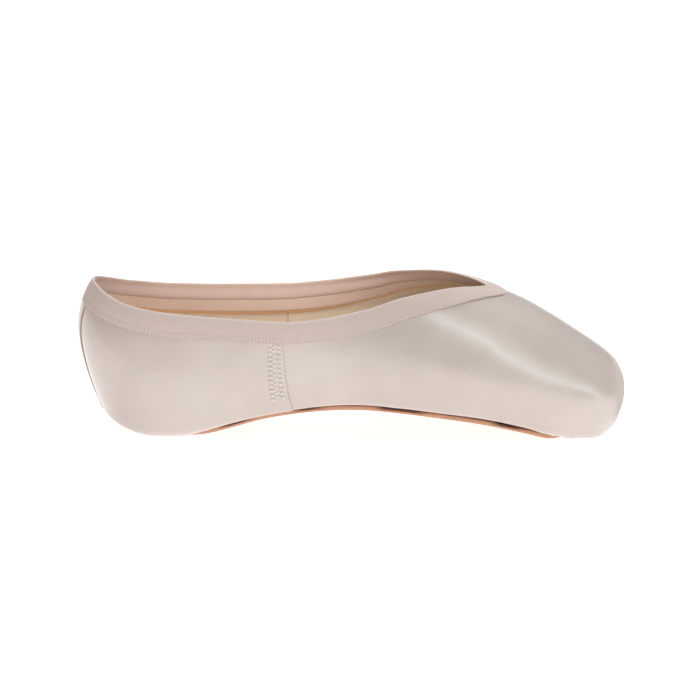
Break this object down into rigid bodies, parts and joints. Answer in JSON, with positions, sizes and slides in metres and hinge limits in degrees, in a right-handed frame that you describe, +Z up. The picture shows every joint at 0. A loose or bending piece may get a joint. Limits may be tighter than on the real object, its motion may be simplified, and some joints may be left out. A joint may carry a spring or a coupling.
{
  "type": "pointe shoe",
  "caption": "Straight-last satin ballet shoe with a stiff toe box, a flat toe platform, a taped collar and a thin arched leather sole.",
  "frame": {"origin": "on the floor, under the middle of the shoe's length and width", "axes": "+X towards the toe, +Y to the wearer's left, +Z up; the floor is z = 0"},
  "size_m": [0.2324, 0.0736, 0.0667],
  "materials": {
    "satin": "pale pink satin, glossy across its warp, over canvas and paste layers",
    "tape": "matt cotton twill tape, a little pinker than the satin",
    "sole_leather": "tan sole leather, flesh side out, with a pared edge",
    "insole_board": "cream cotton over a stiff board"
  },
  "bodies": {
    "root": {"upper": "satin", "collar_binding": "tape", "outsole": "sole_leather", "insole": "insole_board"}
  },
  "joints": []
}
